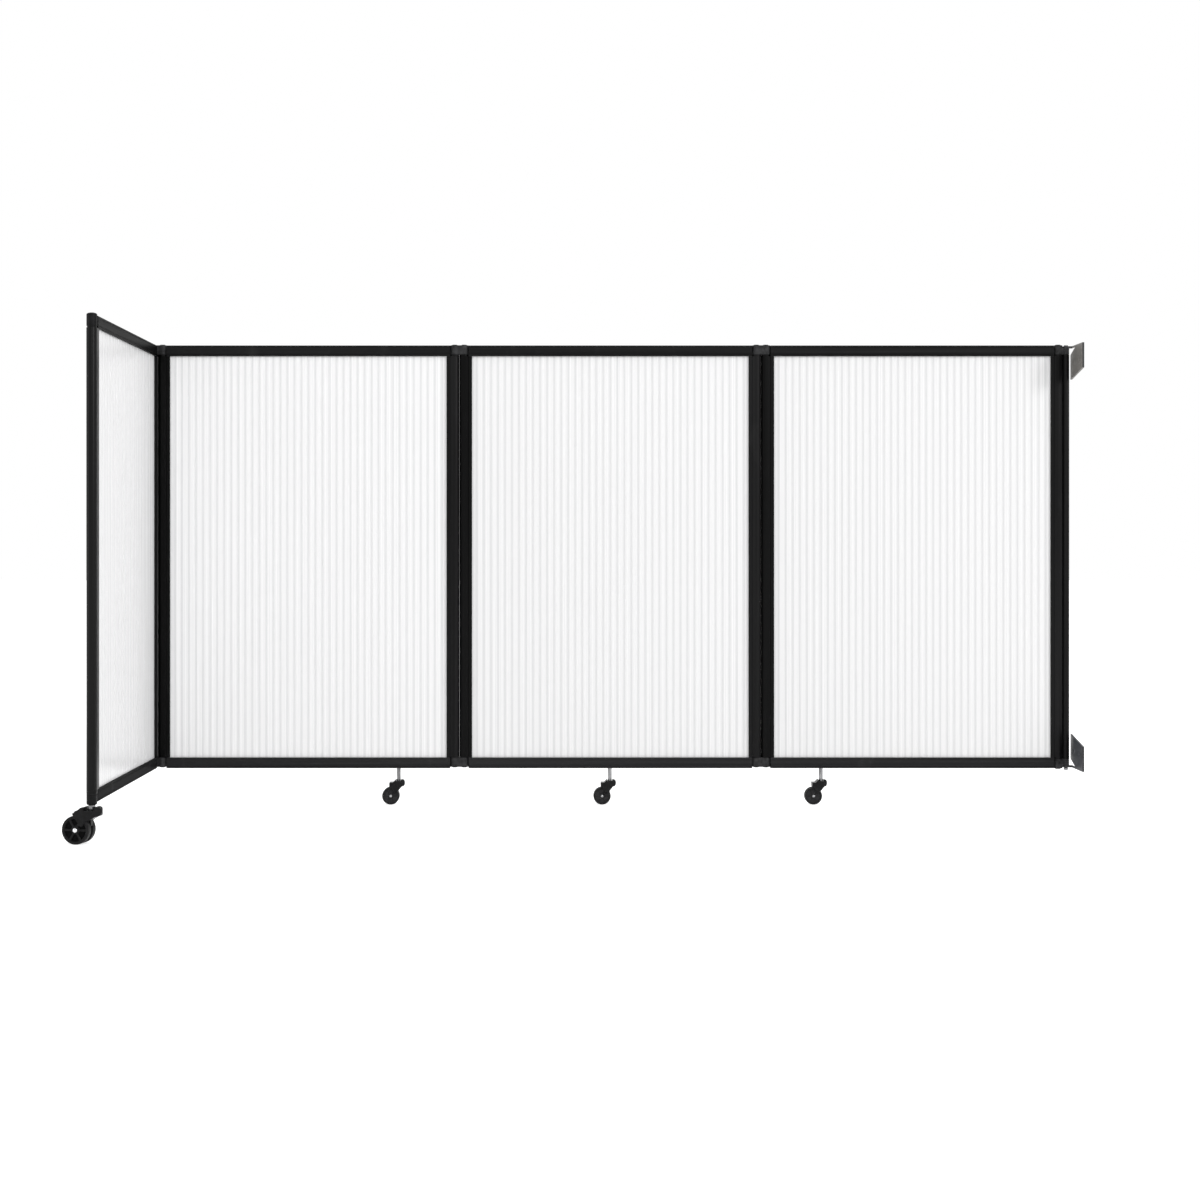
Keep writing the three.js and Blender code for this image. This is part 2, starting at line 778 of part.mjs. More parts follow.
function addPanel(parent, number, x, turn, casterPlace) {
  const panel = group(`panel_${number}`, x, 0, turn);
  parent.add(panel);
  const leftHolder = casterPlace === undefined ? "free" : "link";
  const rightHolder = parent.name === "link_wall" ? "wall" : "link";
  const name = (piece) => `panel_${number}_${piece}`;
  const bottomRail = railGeometry(casterPlace);
  place(panel, name("left_stile"), stileGeometry(leftHolder).translate(-panelSpan, 0, 0), frameBlack);
  place(panel, name("right_stile"), stileGeometry(rightHolder).rotateZ(Math.PI), frameBlack);
  place(panel, name("bottom_rail"), bottomRail, frameBlack);
  place(panel, name("top_rail"), upsideDown(railGeometry()), frameBlack);
  place(panel, name("fluted_sheet"), sheetGeometry(), sheetPale);
  return panel;
}

function addSmallCaster(panel, number, casterPlace) {
  const x = -panelSpan + casterPlace;
  const name = `caster_${number}`;
  const shankTop = frameBottom + wallThickness + railChamber - seatGap;
  const stem = stemGeometry(smallCaster, shankTop, smallCaster.headTop);
  place(panel, `${name}_stem`, stem.translate(x, 0, 0), steelBright);
  place(panel, `${name}_insert`, insertGeometry().translate(x, 0, 0), steelBright);
  addCaster(panel, name, x, 0, smallCaster, []);
}

function addFreeEnd(panel) {
  const capLow = frameBottom - capRise;
  const shankTop = capLow + socketDepth - seatGap;
  const stem = stemGeometry(largeCaster, shankTop, capLow - seatGap);
  place(panel, "free_end_cap_upper", upperCapGeometry().translate(-panelSpan, 0, 0), blockBlack);
  place(panel, "free_end_cap_lower", lowerCapGeometry().translate(-panelSpan, 0, 0), blockBlack);
  place(panel, "caster_1_stem", stem.translate(-panelSpan, 0, 0), steelBright);
  const turn = -Math.PI / 2 - largeCasterYaw;
  const swivel = addCaster(panel, "caster_1", -panelSpan, turn, largeCaster, pedalSlots(largeCaster));
  place(swivel, "caster_1_brake_pedal", pedalGeometry(largeCaster), casterBlack);
}

// The upper and the lower block of a link, the lower one moved up by a given height.
function addLink(parent, name, x, geometry, lift) {
  const link = group(name, x);
  parent.add(link);
  place(link, `${name}_upper`, geometry, blockBlack);
  place(link, `${name}_lower`, upsideDown(geometry).translate(0, 0, lift), blockBlack);
  return link;
}

function addWallEnd(parent) {
  const bracket = bracketGeometry();
  place(parent, "wall_post", wallPostGeometry(), frameBlack);
  place(parent, "wall_bracket_upper", bracket, plateGrey);
  place(parent, "wall_bracket_lower", mirroredDown(bracket), plateGrey);
  place(parent, "post_screw_upper", postScrewGeometry(screwHeadHeight), steelBright);
  place(parent, "post_screw_lower", upsideDown(postScrewGeometry(screwFootHeight)), steelBright);
}

// The wall end carries link and panel in turn, out to the free panel, which stands square to the rest.
const partition = group("partition");
addWallEnd(partition);
let carrier = addLink(partition, "link_wall", 0, wallLinkGeometry(), 0);
let reach = -wallLinkSpacing;
for (const number of [4, 3, 2]) {
  const casterPlace = smallCasterShares[number - 2] * panelSpan;
  const panel = addPanel(carrier, number, reach, 0, casterPlace);
  addSmallCaster(panel, number, casterPlace);
  const lift = linkRise + lowerLinkInset;
  carrier = addLink(panel, `link_${number - 1}${number}`, -panelSpan, linkGeometry(), lift);
  reach = -linkSpacing;
}
addFreeEnd(addPanel(carrier, 1, reach, Math.PI / 2));

// The origin is under the middle of the whole, on the floor.
const extent = new THREE.Box3().setFromObject(partition);
const centre = extent.getCenter(new THREE.Vector3());
partition.position.set(-centre.x, -centre.y, 0);

const model = new THREE.Group();
model.add(partition);
export default model;
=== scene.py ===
"""Looks of the folding partition: finer pieces, finishes, studio and camera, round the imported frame."""
import json
import math

import bmesh
import bpy
from mathutils import Matrix, Vector

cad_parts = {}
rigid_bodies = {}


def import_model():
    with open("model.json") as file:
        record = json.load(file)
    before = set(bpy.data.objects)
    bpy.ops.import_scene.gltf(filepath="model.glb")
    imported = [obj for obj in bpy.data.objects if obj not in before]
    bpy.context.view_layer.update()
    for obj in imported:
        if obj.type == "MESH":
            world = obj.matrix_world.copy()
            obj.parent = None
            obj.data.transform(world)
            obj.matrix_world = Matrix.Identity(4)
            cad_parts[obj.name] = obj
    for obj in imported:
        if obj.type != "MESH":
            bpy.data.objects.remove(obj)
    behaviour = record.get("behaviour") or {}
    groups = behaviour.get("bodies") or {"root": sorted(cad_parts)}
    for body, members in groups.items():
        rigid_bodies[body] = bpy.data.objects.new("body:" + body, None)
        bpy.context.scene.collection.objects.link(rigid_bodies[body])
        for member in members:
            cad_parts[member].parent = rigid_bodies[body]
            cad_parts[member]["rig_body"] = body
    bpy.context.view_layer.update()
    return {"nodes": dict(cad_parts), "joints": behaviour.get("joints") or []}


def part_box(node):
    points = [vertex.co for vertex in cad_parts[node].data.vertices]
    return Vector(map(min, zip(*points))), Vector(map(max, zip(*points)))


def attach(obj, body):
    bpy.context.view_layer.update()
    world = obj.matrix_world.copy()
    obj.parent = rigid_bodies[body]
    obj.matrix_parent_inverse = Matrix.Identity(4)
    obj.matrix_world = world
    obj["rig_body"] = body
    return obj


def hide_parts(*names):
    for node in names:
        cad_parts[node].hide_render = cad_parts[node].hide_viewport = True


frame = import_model()
nodes = frame["nodes"]
joints = {joint["name"]: joint for joint in frame["joints"]}

PANELS = (1, 2, 3, 4)
LINKS = ("link_wall", "link_34", "link_23", "link_12")

# Frame extrusions, in metres
HALF = 0.010
POST = 0.01015  # a little more than HALF, so that no light shows between two posts
POST_BORE = 0.0045
STILE_REACH = 0.017
STILE_WEB = 0.008
WALL = 0.002
LIP = 0.003
MOUTH = 0.0053
RAIL_HEIGHT = 0.023
RAIL_CHAMBER = 0.0075
RAIL_CORNER = 0.0015
GROOVE_WIDTH = 0.0014
GROOVE_DEPTH = 0.0006
STILE_GROOVE = 0.0096
RAIL_GROOVE = 0.0044
EDGE = 0.0003
LOBE = 0.00995
RAIL_END = 0.0097
COPE = 0.0103
PIN_RADIUS = 0.0042

# Fluted sheet
SHEET_RIB = 0.0008
FLUTE_PITCH = 0.015
# Painted light and shade: each panel's sheet has its own level, lighter where less light reaches it and
# darker where more does, to even out the lamps and the corner.
SHEET_PAINTED_LIGHT = {1: 0.955, 2: 0.935, 3: 0.90, 4: 0.88}
RIB_SHADE = (0.0003, 0.0046)  # a rib's line fades out between these distances from its middle
RIB_TONE = 0.80
RIB_STRENGTH = 0.80
SHEET_IOR = 1.2
SHEET_TRANSMISSION = 0.08

# Hinge links
LINK_HEIGHT = 0.020
WAIST = 0.007
WAIST_ANGLE = math.radians(65)
HEAD_RADIUS = 0.0056
HEAD_RISE = 0.0014
SOCKET_RADIUS = 0.0024
SOCKET_REACH = 1.2  # the floor of a socket runs out under its corners
SOCKET_FLOOR = 0.35
HEAD_ROUND = 0.4
PIN_LENGTH = 0.028
BLOCK_EDGE = 0.0008

# Wall end
WALL_POST = 0.007
WALL_TUBE = 0.00715  # the tube stands as little proud of the ears as POST does of the stiles
SCREW_RADIUS = 0.003
SCREW_HEAD = 0.0046
SCREW_REACH = 0.040
EAR = 0.004
EAR_DROP = 0.002
PLATE_FACE = 0.0114
PLATE = 0.004
PLATE_FRONT = 0.100
PLATE_HEIGHT_FRONT = 0.053
PLATE_HEIGHT_BACK = 0.071
RELIEF_LENGTH = 0.038
RELIEF_HEIGHT = 0.018
FIXING_HOLE = 0.00275
FIXING_SINK = 0.0054
FIXING_INSET = 0.024
FIXING_DROP = 0.036
FACING = 0.7  # a face belongs to the front edge if its normal leans forward this far

# End caps
CAP_SKIRT = 0.020
CAP_ROUND = 0.0040
CAP_NECK = 0.0089
CAP_NECK_HEIGHT = 0.015
LOWER_SKIRT = 0.016
LOWER_TAPER = 0.0018
SPIGOT = 0.020
SOCKET_DEPTH = 0.018

# Casters
SMALL = dict(
    radius=0.0185, round=0.0022, rim=0.0032, dish=0.0022, hub=0.0046, hub_inset=0.0007,
    axle=0.0021, axle_head=0.0031, axle_dome=0.0015, width=0.027, web=0.005, cheek=0.0018, play=0.0005,
    clear=0.001, wall=0.0018, deck=0.041, saddle_top=0.050, head_top=0.0535, head_back=0.006,
    ledge_rise=0.0065, ledge=0.0072, nose_depth=0.015, nose_round=0.0065, nose_radius=0.007,
    shoulder=0.004, back_reach=0.003, cheek_rise=0.005, cheek_front=0.0048, cheek_round=0.0035,
    boss=0.005, pivot=0.003, pivot_depth=0.014, stem=0.0042, collar=0.0042,
    spokes=6, spoke=0.0022, voxel=0.00036,
)
LARGE = dict(
    radius=0.027, round=0.0034, rim=0.0046, dish=0.0036, hub=0.007, hub_inset=0.0012,
    axle=0.003, axle_head=0.0046, axle_dome=0.0024, width=0.042, web=0.008, cheek=0.002, play=0.0006,
    clear=0.0012, wall=0.0024, deck=0.058, saddle_top=0.0635, head_top=0.070, head_back=0.0135,
    ledge_rise=0.0015, ledge=0.003, nose_depth=0.018, nose_round=0.009, nose_radius=0.0105,
    shoulder=0.008, back_reach=0.004, cheek_rise=0.0075, cheek_front=0.0075, cheek_round=0.0055,
    boss=0.008, pivot=0.004, pivot_depth=0.015, stem=0.0055, collar=0.0073,
    spokes=6, spoke=0.0030, voxel=0.00045,
)
SPOKE_FLARE = 1.5
SPOKE_INSET = 1.3
HOOD_SMOOTHING = dict(factor=0.5, iterations=5)
HOOD_SHARE = 0.22
GAP = 0.0003
NOSE_ANGLE = math.radians(60)
NOTCH_ANGLE = math.radians(36)
PEDAL_BACK = 0.018
PEDAL_RISE = 0.0054
PEDAL_BARREL = 0.003
PEDAL_PIN = 0.0015
PEDAL_WIDTH = 0.015
PEDAL_LENGTH = 0.015
PEDAL_PLATE = 0.0026
PEDAL_DROP = 0.0044
PEDAL_RIDGE = 0.0008
PEDAL_RIDGES = 3
PEDAL_SEAT = 0.0026

OVERRUN = 0.005
MERGE = 1e-6
UPSIDE_DOWN = Matrix.Scale(-1, 4, (0, 0, 1))
SMOOTH_ANGLE = math.radians(32)

# Sides of the rounds
BORE_SIDES = 40
SMALL_SIDES = 48
ROUND_SIDES = 64
POST_SIDES = 80
FINE_SIDES = 96


# Outlines

def arc(cx, cy, radius, start, end, steps):
    turns = (start + (end - start) * i / steps for i in range(steps + 1))
    return [(cx + radius * math.cos(t), cy + radius * math.sin(t)) for t in turns]


def circle(radius, steps=ROUND_SIDES, cx=0.0, cy=0.0):
    return arc(cx, cy, radius, 0, 2 * math.pi, steps)[:-1]


def bend(start, corner, end, steps=8):
    """The points of a quadratic curve after its start."""
    points = []
    for i in range(1, steps + 1):
        t = i / steps
        points.append(tuple(
            (1 - t) ** 2 * a + 2 * t * (1 - t) * b + t ** 2 * c for a, b, c in zip(start, corner, end)
        ))
    return points


def box_outline(x0, x1, y0, y1):
    return [(x0, y0), (x1, y0), (x1, y1), (x0, y1)]


# Meshes

def tidied(mesh):
    bm = bmesh.new()
    bm.from_mesh(mesh)
    bmesh.ops.remove_doubles(bm, verts=bm.verts, dist=MERGE)
    bmesh.ops.recalc_face_normals(bm, faces=bm.faces)
    bm.to_mesh(mesh)
    bm.free()
    return mesh


def evaluated(data, *modifiers):
    """The mesh of a mesh or curve after a row of modifiers, each a kind and its settings."""
    thing = bpy.data.objects.new("work", data)
    bpy.context.scene.collection.objects.link(thing)
    for kind, settings in modifiers:
        modifier = thing.modifiers.new(kind.lower(), kind)
        for key, value in settings.items():
            setattr(modifier, key, value)
    result = bpy.data.meshes.new_from_object(thing.evaluated_get(bpy.context.evaluated_depsgraph_get()))
    bpy.data.objects.remove(thing)
    return result


def prism(loops, low, high, edge=0.0):
    """Outlines in X and Y, the first the outside and the rest holes, raised from low to high."""
    curve = bpy.data.curves.new("work", "CURVE")
    curve.dimensions = "2D"
    curve.fill_mode = "BOTH"
    for loop in loops:
        spline = curve.splines.new("POLY")
        spline.points.add(len(loop) - 1)
        for point, (x, y) in zip(spline.points, loop):
            point.co = (x, y, 0, 1)
        spline.use_cyclic_u = True
    curve.extrude = (high - low) / 2 - edge
    curve.bevel_depth = edge
    curve.bevel_resolution = 2
    curve.offset = -edge
    mesh = evaluated(curve)
    mesh.transform(Matrix.Translation((0, 0, (low + high) / 2)))
    return tidied(mesh)


def lathe(profile, sides=ROUND_SIDES):
    """A profile of radius and height turned about Z; a radius of zero is a pole."""
    bm = bmesh.new()
    rings = []
    for radius, height in profile:
        points = circle(radius, sides) if radius else [(0, 0)]
        rings.append([bm.verts.new((x, y, height)) for x, y in points])
    closed = profile[0][0] != 0
    pairs = zip(rings, rings[1:] + rings[:1] if closed else rings[1:])
    for first, second in pairs:
        for i in range(sides):
            j = (i + 1) % sides
            near = [first[i % len(first)], first[j % len(first)]]
            far = [second[j % len(second)], second[i % len(second)]]
            bm.faces.new(list(dict.fromkeys([*near, *far])))  # a pole counts once
    bmesh.ops.recalc_face_normals(bm, faces=bm.faces)
    mesh = bpy.data.meshes.new("work")
    bm.to_mesh(mesh)
    bm.free()
    return mesh


def rod(radius, low, high, sides=SMALL_SIDES):
    return lathe([(0, low), (radius, low), (radius, high), (0, high)], sides)


def moved(mesh, *steps):
    """The mesh after a row of transforms, the first one first."""
    made = mesh.copy()
    for step in steps:
        made.transform(step)
        if step.determinant() < 0:
            made.flip_normals()
    return made


def shift(x=0.0, y=0.0, z=0.0):
    return Matrix.Translation((x, y, z))


def turn(degrees, axis):
    return Matrix.Rotation(math.radians(degrees), 4, axis)


ACROSS = turn(90, "X")  # an outline in X and Y stands up in X and Z, and runs across Y
ALONG = Matrix(((0, 0, 1, 0), (1, 0, 0, 0), (0, 1, 0, 0), (0, 0, 0, 1)))  # X and Y become Y and Z


def combined(*meshes):
    bm = bmesh.new()
    for mesh in meshes:
        bm.from_mesh(mesh)
    made = bpy.data.meshes.new("work")
    bm.to_mesh(made)
    bm.free()
    return made


def boolean(mesh, operation, *others):
    """Joins, cuts or overlaps a closed mesh with others, one after another."""
    for other in others:
        tool = bpy.data.objects.new("tool", other)
        bpy.context.scene.collection.objects.link(tool)
        mesh = evaluated(mesh, ("BOOLEAN", dict(operation=operation, solver="EXACT", object=tool)))
        bpy.data.objects.remove(tool)
    return mesh


def rounded(mesh, width, segments=3):
    return evaluated(mesh, ("BEVEL", dict(width=width, segments=segments, angle_limit=SMOOTH_ANGLE)))


def stand_for(mesh, node, *materials):
    """Makes the piece that is seen in place of a CAD node."""
    piece = bpy.data.objects.new(f"{node}_fine", mesh)
    bpy.context.scene.collection.objects.link(piece)
    mesh.name = piece.name
    while mesh.materials:
        mesh.materials.pop()
    for material in materials:
        mesh.materials.append(material)
    mesh.shade_smooth()
    mesh.set_sharp_from_angle(angle=SMOOTH_ANGLE)
    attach(piece, nodes[node]["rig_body"])
    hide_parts(node)
    return piece


# Finishes

X, Y, Z = range(3)
MIX_FIRST, MIX_SECOND, MIX_RESULT = 6, 7, 2  # the Mix node's colour sockets
MAP_RANGE = slice(1, 5)  # the Map Range node's limits

# Grain of the extrusions, in cells per metre: across and along them, and along X, Y and Z
DIE_LINES = (900.0, 2.0)
STREAKS = (160.0, 1.2)
SCUFFS = (14.0, 14.0, 5.0)


class Nodes:
    """One material's node tree, with short names for the nodes that the finishes share."""

    def __init__(self, name, specular=0.5, metallic=0.0):
        self.material = bpy.data.materials.new(name)
        self.material.use_nodes = True
        self.tree = self.material.node_tree
        self.shader = self.tree.nodes["Principled BSDF"]
        self.place = self.new("ShaderNodeTexCoord").outputs["Object"]
        self.shader.inputs["Specular IOR Level"].default_value = specular
        self.shader.inputs["Metallic"].default_value = metallic

    def new(self, kind):
        return self.tree.nodes.new(kind)

    def link(self, source, target):
        self.tree.links.new(source, target)

    def noise(self, scale, detail=3.0, roughness=0.5):
        mapping = self.new("ShaderNodeMapping")
        mapping.inputs["Scale"].default_value = scale
        self.link(self.place, mapping.inputs["Vector"])
        texture = self.new("ShaderNodeTexNoise")
        texture.inputs["Scale"].default_value = 1.0
        texture.inputs["Detail"].default_value = detail
        texture.inputs["Roughness"].default_value = roughness
        self.link(mapping.outputs["Vector"], texture.inputs["Vector"])
        return texture.outputs["Fac"]

    def ranged(self, value, low, high, to_low, to_high, smooth=False):
        mapped = self.new("ShaderNodeMapRange")
        if smooth:
            mapped.interpolation_type = "SMOOTHSTEP"
        for socket, number in zip(mapped.inputs[MAP_RANGE], (low, high, to_low, to_high)):
            socket.default_value = number
        self.link(value, mapped.inputs["Value"])
        return mapped.outputs["Result"]

    def maths(self, operation, first, second=None):
        node = self.new("ShaderNodeMath")
        node.operation = operation
        for socket, value in zip(node.inputs, (first, second)):
            if value is None:
                continue
            if isinstance(value, (int, float)):
                socket.default_value = value
            else:
                self.link(value, socket)
        return node.outputs[0]

    def mixed(self, factor, first, second):
        node = self.new("ShaderNodeMix")
        node.data_type = "RGBA"
        self.link(factor, node.inputs["Factor"])
        for socket, value in ((node.inputs[MIX_FIRST], first), (node.inputs[MIX_SECOND], second)):
            if isinstance(value, tuple):
                socket.default_value = (*value, 1)
            else:
                self.link(value, socket)
        return node.outputs[MIX_RESULT]

    def bump(self, height, distance, strength):
        node = self.new("ShaderNodeBump")
        node.inputs["Strength"].default_value = strength
        node.inputs["Distance"].default_value = distance
        self.link(height, node.inputs["Height"])
        return node.outputs["Normal"]

    def finish(self, color, roughness, normal):
        self.link(color, self.shader.inputs["Base Color"])
        self.link(roughness, self.shader.inputs["Roughness"])
        self.link(normal, self.shader.inputs["Normal"])
        return self.material


def grey(value, blue=1.0):
    return (value, value, value * blue)


def drawn(grain, along):
    """The scales of a grain that is drawn out along one axis."""
    across, run = grain
    return [run if axis == along else across for axis in range(3)]


def satin_black(name, along, level, specular=0.07, ior=1.5):
    """Black anodised extrusion: die lines and streaks drawn out along one axis, under faint scuffs."""
    n = Nodes(name, specular=specular)
    n.shader.inputs["IOR"].default_value = ior
    streaks = n.noise(drawn(STREAKS, along))
    scuffs = n.noise(SCUFFS, detail=6.0, roughness=0.65)
    dark, light, scuffed = grey(0.6 * level, 1.03), grey(1.3 * level, 1.03), grey(2.8 * level, 1.02)
    tone = n.mixed(n.ranged(streaks, 0.35, 0.7, 0, 1), dark, light)
    worn = n.mixed(n.ranged(scuffs, 0.60, 0.76, 0, 0.45), tone, scuffed)
    roughness = n.ranged(streaks, 0.3, 0.7, 0.30, 0.42)
    lines = n.noise(drawn(DIE_LINES, along), detail=2.0)
    return n.finish(worn, roughness, n.bump(lines, distance=0.00006, strength=0.3))


def moulded(name, dark, light, rough, specular=0.3, grain=1400.0, depth=0.0001):
    """Moulded plastic: a fine etched grain over a slow mottle."""
    n = Nodes(name, specular=specular)
    mottle = n.noise((90.0, 90.0, 90.0), detail=5.0, roughness=0.6)
    etched = n.noise((grain, grain, grain), detail=2.0)
    tone = n.mixed(n.ranged(mottle, 0.35, 0.68, 0, 1), grey(dark, 1.04), grey(light, 1.04))
    roughness = n.ranged(mottle, 0.3, 0.7, rough - 0.05, rough + 0.07)
    return n.finish(tone, roughness, n.bump(etched, depth, strength=0.5))


def powder_coat(name, dark, light):
    n = Nodes(name, specular=0.3)
    peel = n.noise((420.0, 420.0, 420.0))
    cloud = n.noise((26.0, 26.0, 26.0), detail=5.0)
    tone = n.mixed(n.ranged(cloud, 0.35, 0.7, 0, 1), dark, light)
    roughness = n.ranged(cloud, 0.3, 0.7, 0.42, 0.55)
    return n.finish(tone, roughness, n.bump(peel, distance=0.00012, strength=0.4))


def turned_steel(name, dark, light):
    """Zinc-plated steel with fine turning rings and a slow cloud in its plating."""
    n = Nodes(name, metallic=1.0)
    rings = n.noise((60.0, 60.0, 2600.0), detail=2.0)
    cloud = n.noise((260.0, 260.0, 60.0), detail=4.0)
    tone = n.mixed(n.ranged(cloud, 0.35, 0.65, 0, 1), grey(dark, 1.02), grey(light, 1.02))
    roughness = n.ranged(cloud, 0.3, 0.7, 0.20, 0.32)
    return n.finish(tone, roughness, n.bump(rings, distance=0.00003, strength=0.4))


def fluted(name, node, level):
    """Clear twin-wall sheet seen against the light: each upright rib shows as a soft grey line."""
    low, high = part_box(node)
    axis = X if high.x - low.x > high.y - low.y else Y
    width = high[axis] - low[axis]
    count = math.floor((width - SHEET_RIB) / FLUTE_PITCH)
    step = (width - SHEET_RIB) / count
    n = Nodes(name, specular=0.35)
    split = n.new("ShaderNodeSeparateXYZ")
    n.link(n.place, split.inputs[0])
    along = n.maths("SUBTRACT", split.outputs[axis], low[axis] + SHEET_RIB / 2)
    share = n.maths("FRACT", n.maths("DIVIDE", along, step))
    off_centre = n.maths("ABSOLUTE", n.maths("SUBTRACT", share, 0.5))
    reach = n.maths("MULTIPLY", n.maths("SUBTRACT", 0.5, off_centre), step)
    rib = n.ranged(reach, *RIB_SHADE, 1, 0, smooth=True)
    streaks = n.noise((260.0, 260.0, 0.8), detail=2.0)
    # level is the panel's painted light-and-shade level.
    clear = n.mixed(streaks, grey(0.98 * level, 1.003), grey(level, 1.003))
    lined = n.mixed(n.maths("MULTIPLY", rib, RIB_STRENGTH), clear, grey(RIB_TONE * level, 1.01))
    n.shader.inputs["IOR"].default_value = SHEET_IOR
    n.shader.inputs["Transmission Weight"].default_value = SHEET_TRANSMISSION
    roughness = n.ranged(streaks, 0, 1, 0.22, 0.32)
    return n.finish(lined, roughness, n.bump(rib, distance=0.00030, strength=0.5))


# Painted light and shade: one satin black at a darker level on the left stiles and a lighter one on the
# right stiles, for how the light falls on the two sides of each joint.
stile_lit_and_shaded = {
    "left": satin_black("satin_black_left_stile_painted_shade", along=Z, level=0.0024),
    "right": satin_black("satin_black_right_stile_painted_light", along=Z, level=0.0082),
}
# Painted light: the bottom rails are lighter to paint in the floor's reflection, and the top rails lighter
# for the light that falls on them.
rail_lit_and_shaded = {
    "bottom": satin_black("satin_black_bottom_rail_painted_reflection", along=X, level=0.0185),
    "top": satin_black("satin_black_top_rail_painted_light", along=X, level=0.0095),
}
# The free stile takes the left stiles' darker painted-shade level, with a stronger real reflection.
free_stile = satin_black("satin_black_free_stile_painted_shade", along=Z, level=0.0024, specular=0.13)
# Panel 1's rails, turned nearly edge-on: their real reflection is turned down, and the bottom one's colour
# is raised to paint in the floor's reflection in its place.
turned_rail = {
    "bottom": satin_black("satin_black_turned_bottom_rail_painted_reflection", along=Y, level=0.0190, specular=0.01, ior=1.12),
    "top": satin_black("satin_black_turned_top_rail", along=Y, level=0.0042, specular=0.01),
}
post_finish = satin_black("satin_black_wall_post", along=Z, level=0.0080)
block_finish = moulded("hinge_block_nylon", dark=0.014, light=0.042, rough=0.44, specular=0.10)
cap_finish = moulded("end_cap_nylon", dark=0.0045, light=0.0105, rough=0.40, specular=0.08)
hood_finish = moulded("hood_nylon", dark=0.0045, light=0.010, rough=0.30, specular=0.10, depth=0.00005)
pedal_finish = moulded("pedal_nylon", dark=0.020, light=0.055, rough=0.36, specular=0.2, depth=0.00005)
wheel_finish = moulded("wheel_polymer", dark=0.0060, light=0.015, rough=0.46, specular=0.10)
# Painted shade: the wheel polymer made darker and duller for the floor of the large wheels' dish between
# the spokes.
large_dish_painted_shade = moulded("large_wheel_dish_painted_shade", dark=0.0030, light=0.0060, rough=0.60, specular=0.02)
small_wheel_finish = moulded("small_wheel_polymer", dark=0.0120, light=0.026, rough=0.46, specular=0.10)
small_recess_finish = moulded("small_wheel_recess", dark=0.0200, light=0.034, rough=0.55, specular=0.10)
# Painted light and shade: one powder coat as a lighter copy for the upper bracket and a darker copy for the
# lower, for how the light falls on each.
plate_lit_upper = powder_coat("bracket_coat_upper_painted_light", (0.150, 0.143, 0.133), (0.190, 0.181, 0.168))
plate_shaded_lower = powder_coat("bracket_coat_lower_painted_shade", (0.038, 0.040, 0.046), (0.056, 0.057, 0.064))
steel = turned_steel("turned_steel", dark=0.12, light=0.30)
bright = turned_steel("polished_steel", dark=0.56, light=0.76)
dull = turned_steel("dull_steel", dark=0.24, light=0.36)
plate_edge = powder_coat("bracket_edge", (0.020, 0.020, 0.022), (0.032, 0.032, 0.034))


# Panels

def panel_axes(number):
    """The post axes at a panel's right and left edges."""
    right = Vector(joints[f"panel_{number}_pivot"]["pos_m"])
    left_joint = "caster_1_turn" if number == 1 else f"link_{number - 1}{number}_pivot"
    left = Vector(joints[left_joint]["pos_m"])
    left.z = right.z = 0
    return right, left


def panel_place(number):
    """Where a panel's own frame lies: origin under its right post, X toward it from the left one."""
    right, left = panel_axes(number)
    along = right - left
    return shift(*right) @ Matrix.Rotation(math.atan2(along.y, along.x), 4, "Z")


def grooved(along, level, sign=1):
    half_width = GROOVE_WIDTH / 2
    return [(along - half_width, level), (along, level - sign * GROOVE_DEPTH), (along + half_width, level)]


def stile_outline():
    """Round post at the origin, with the flat side and the glazing channel toward +X."""
    inner = HALF - WALL
    lower = [
        *grooved(STILE_GROOVE, -HALF, -1),
        (STILE_REACH, -HALF),
        (STILE_REACH, -MOUTH),
        (STILE_REACH - LIP, -MOUTH),
        (STILE_REACH - LIP, -inner),
        (STILE_WEB, -inner),
    ]
    upper = [(x, -y) for x, y in reversed(lower)]
    start = math.pi - math.asin(HALF / POST)
    return [*arc(0, 0, POST, start, 2 * math.pi - start, 40), *lower, *upper]


def stile_mesh(number, side):
    """A stile about its post axis: the post runs past the flat side at both ends."""
    low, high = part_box(f"panel_{number}_{side}_stile")
    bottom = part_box(f"panel_{number}_bottom_rail")[1].z + GAP
    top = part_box(f"panel_{number}_top_rail")[0].z - GAP
    profile = [stile_outline(), circle(POST_BORE, BORE_SIDES)]
    parts = [prism(profile, max(bottom, low.z), min(top, high.z), EDGE)]
    ring = [circle(POST, POST_SIDES), circle(POST_BORE, BORE_SIDES)]
    if low.z < bottom:
        parts.append(prism(ring, low.z, bottom + EDGE, EDGE / 2))
    if high.z > top:
        parts.append(prism(ring, top - EDGE, high.z, EDGE / 2))
    return combined(*parts)


def rail_outline():
    """A bottom rail's section in Y and Z, from its underside up."""
    inner = HALF - WALL
    floor = 2 * WALL + RAIL_CHAMBER
    side = [
        *arc(HALF - RAIL_CORNER, RAIL_CORNER, RAIL_CORNER, -math.pi / 2, 0, 5),
        *((y, z) for z, y in grooved(RAIL_GROOVE, HALF)),
        *((y, z) for z, y in grooved(RAIL_HEIGHT - RAIL_GROOVE, HALF)),
        (HALF, RAIL_HEIGHT),
        (MOUTH, RAIL_HEIGHT),
        (MOUTH, RAIL_HEIGHT - LIP),
        (inner, RAIL_HEIGHT - LIP),
        (inner, floor),
    ]
    chamber = box_outline(-inner, inner, WALL, WALL + RAIL_CHAMBER)
    return [[*side, *((-y, z) for y, z in reversed(side))], chamber]


